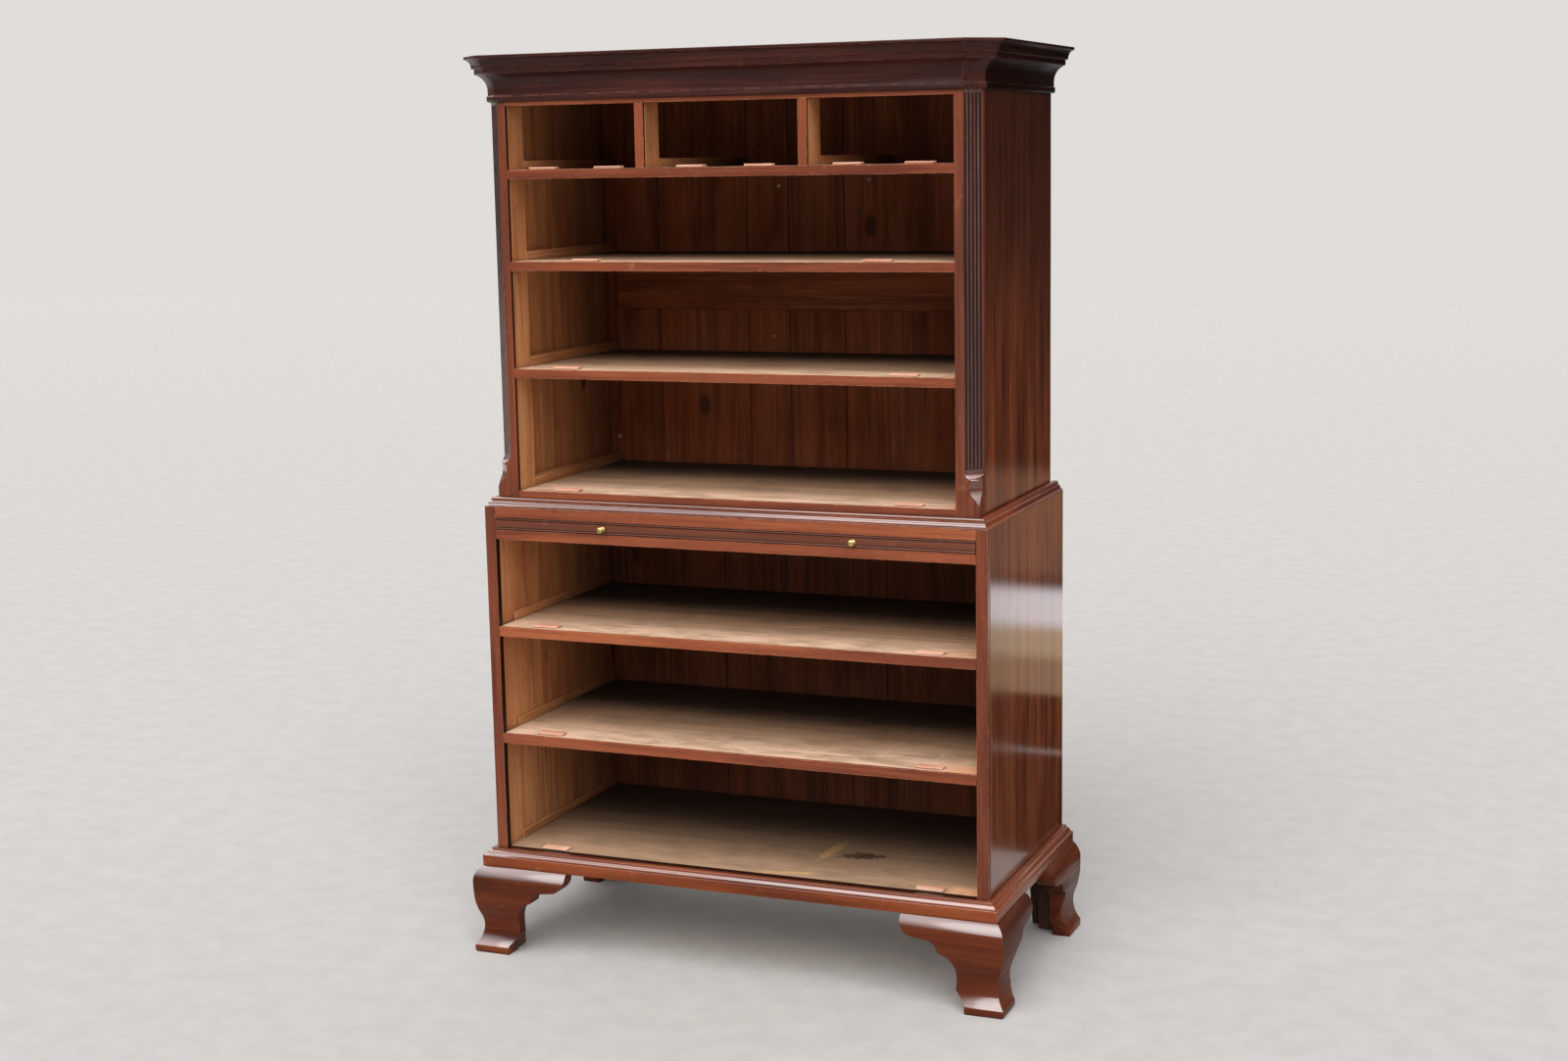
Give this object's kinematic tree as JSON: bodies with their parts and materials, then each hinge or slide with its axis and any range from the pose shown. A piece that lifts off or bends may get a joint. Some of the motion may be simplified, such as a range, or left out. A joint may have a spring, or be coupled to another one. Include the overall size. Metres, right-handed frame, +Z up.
{
  "type": "chest on chest carcass",
  "caption": "Tall open-fronted chest-on-chest carcass with empty drawer bays, ogee bracket feet, fluted canted corners, moulded cornice and a pull-out brushing slide; the upper chest lifts off.",
  "frame": {"origin": "on the floor, below the middle of the whole object's box", "axes": "+Z up, the open front faces -Y, +X to the right as seen from the front"},
  "size_m": [1.172, 0.583, 1.875],
  "materials": {
    "mahogany": "french polished, glossy, worn on the edges",
    "side_mahogany": "french polished, darker, glossy",
    "pine": "bare, aged",
    "dust_pine": "bare, worn and dusty",
    "back_pine": "bare, dark with age",
    "brass": "aged brass",
    "screw_steel": "dull"
  },
  "bodies": {
    "lower_chest": {"base_moulding_front": "mahogany", "base_moulding_left": "mahogany", "base_moulding_right": "mahogany", "base_rail": "pine", "foot_blocks": "pine", "foot_front_left": "mahogany", "foot_front_right": "mahogany", "foot_rear_left": "mahogany", "foot_rear_right": "mahogany", "lower_a_dustboard": "dust_pine", "lower_a_rail": "pine", "lower_b_dustboard": "dust_pine", "lower_b_rail": "pine", "lower_back_boards": "back_pine", "lower_c_dustboard": "dust_pine", "lower_c_rail": "pine", "lower_floor_board": "dust_pine", "lower_guides": "pine", "lower_rail_facings": "mahogany", "lower_side_left": "side_mahogany", "lower_side_right": "side_mahogany", "lower_stiles": "mahogany", "lower_stops": "pine", "lower_top_board": "pine", "lower_top_rail": "mahogany", "rear_foot_brackets": "pine", "waist_moulding_front": "mahogany", "waist_moulding_left": "mahogany", "waist_moulding_right": "mahogany"},
    "upper_chest": {"back_screws": "screw_steel", "corner_post_left": "mahogany", "corner_post_right": "mahogany", "cornice_cants": "mahogany", "cornice_front": "mahogany", "cornice_left": "mahogany", "cornice_right": "mahogany", "muntin_posts": "pine", "muntins": "mahogany", "post_packings": "pine", "upper_a_dustboard": "dust_pine", "upper_a_rail": "pine", "upper_b_dustboard": "dust_pine", "upper_b_rail": "pine", "upper_back_boards": "back_pine", "upper_back_rail": "back_pine", "upper_c_dustboard": "dust_pine", "upper_c_rail": "pine", "upper_floor_board": "dust_pine", "upper_floor_rail": "pine", "upper_guides": "pine", "upper_rail_facings": "mahogany", "upper_side_left": "side_mahogany", "upper_side_right": "side_mahogany", "upper_stops": "pine", "upper_top_board": "pine", "upper_top_rail": "mahogany"},
    "brushing_slide": {"slide_cleats": "mahogany", "slide_front_edge": "mahogany", "slide_knobs": "brass", "slide_panel": "mahogany"}
  },
  "joints": [
    {"name": "upper_chest_lift", "type": "slide", "parent": "lower_chest", "child": "upper_chest", "axis": [0, 0, 1], "range_m": [0, 0.12]},
    {"name": "brushing_slide_pull", "type": "slide", "parent": "lower_chest", "child": "brushing_slide", "axis": [0, -1, 0], "range_m": [0, 0.3]}
  ]
}
